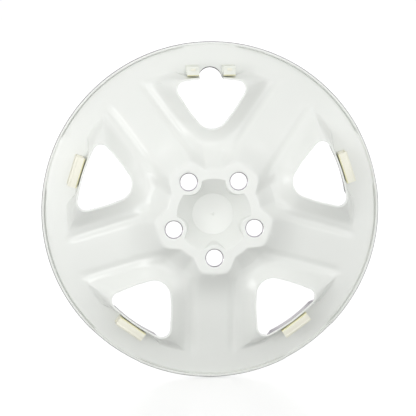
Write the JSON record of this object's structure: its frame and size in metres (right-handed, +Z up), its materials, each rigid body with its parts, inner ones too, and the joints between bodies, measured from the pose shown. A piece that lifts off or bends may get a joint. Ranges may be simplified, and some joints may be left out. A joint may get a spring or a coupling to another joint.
{
  "type": "wheel cover",
  "caption": "Round push-fit wheel cover with spoke windows, a deep hub pad with stud holes, a valve notch and flexing retaining clips.",
  "frame": {"origin": "on the wheel's axle, in the plane of the hub pad's back face, which bears on the wheel", "axes": "+Y along the axle towards the vehicle, -Y out of the show face, +Z up through the valve notch, +X to the right seen from the show face"},
  "size_m": [0.464, 0.0628, 0.464],
  "materials": {
    "shell_white": "satin unplated ABS on the back, bright plated on the show face",
    "clip_nylon": "natural nylon"
  },
  "bodies": {
    "cover": {"cover_shell": "shell_white", "window_clip_foot_1": "clip_nylon", "window_clip_foot_2": "clip_nylon", "window_clip_foot_3": "clip_nylon", "window_clip_foot_4": "clip_nylon", "valve_clip_foot_1": "clip_nylon", "valve_clip_foot_2": "clip_nylon"},
    "window_clip_hook_1": {"window_clip_hook_1": "clip_nylon"},
    "window_clip_hook_2": {"window_clip_hook_2": "clip_nylon"},
    "window_clip_hook_3": {"window_clip_hook_3": "clip_nylon"},
    "window_clip_hook_4": {"window_clip_hook_4": "clip_nylon"},
    "valve_clip_hook_1": {"valve_clip_hook_1": "clip_nylon"},
    "valve_clip_hook_2": {"valve_clip_hook_2": "clip_nylon"}
  },
  "joints": [
    {"name": "window_clip_1_flex", "type": "hinge", "parent": "cover", "child": "window_clip_hook_1", "pos_m": [-0.17985, -0.0304, 0.05844], "axis": [-0.309, 0, -0.9511], "range_deg": [0, 5], "stiffness_Nm_per_rad": 3.6},
    {"name": "window_clip_2_flex", "type": "hinge", "parent": "cover", "child": "window_clip_hook_2", "pos_m": [-0.11115, -0.0304, -0.15299], "axis": [0.809, 0, -0.5878], "range_deg": [0, 5], "stiffness_Nm_per_rad": 3.6},
    {"name": "window_clip_3_flex", "type": "hinge", "parent": "cover", "child": "window_clip_hook_3", "pos_m": [0.11115, -0.0304, -0.15299], "axis": [0.809, 0, 0.5878], "range_deg": [0, 5], "stiffness_Nm_per_rad": 3.6},
    {"name": "window_clip_4_flex", "type": "hinge", "parent": "cover", "child": "window_clip_hook_4", "pos_m": [0.17985, -0.0304, 0.05844], "axis": [-0.309, 0, 0.9511], "range_deg": [0, 5], "stiffness_Nm_per_rad": 3.6},
    {"name": "valve_clip_1_flex", "type": "hinge", "parent": "cover", "child": "valve_clip_hook_1", "pos_m": [0.0245, -0.0304, 0.1891], "axis": [-1, 0, 0], "range_deg": [0, 5], "stiffness_Nm_per_rad": 1.4},
    {"name": "valve_clip_2_flex", "type": "hinge", "parent": "cover", "child": "valve_clip_hook_2", "pos_m": [-0.0245, -0.0304, 0.1891], "axis": [-1, 0, 0], "range_deg": [0, 5], "stiffness_Nm_per_rad": 1.4}
  ]
}
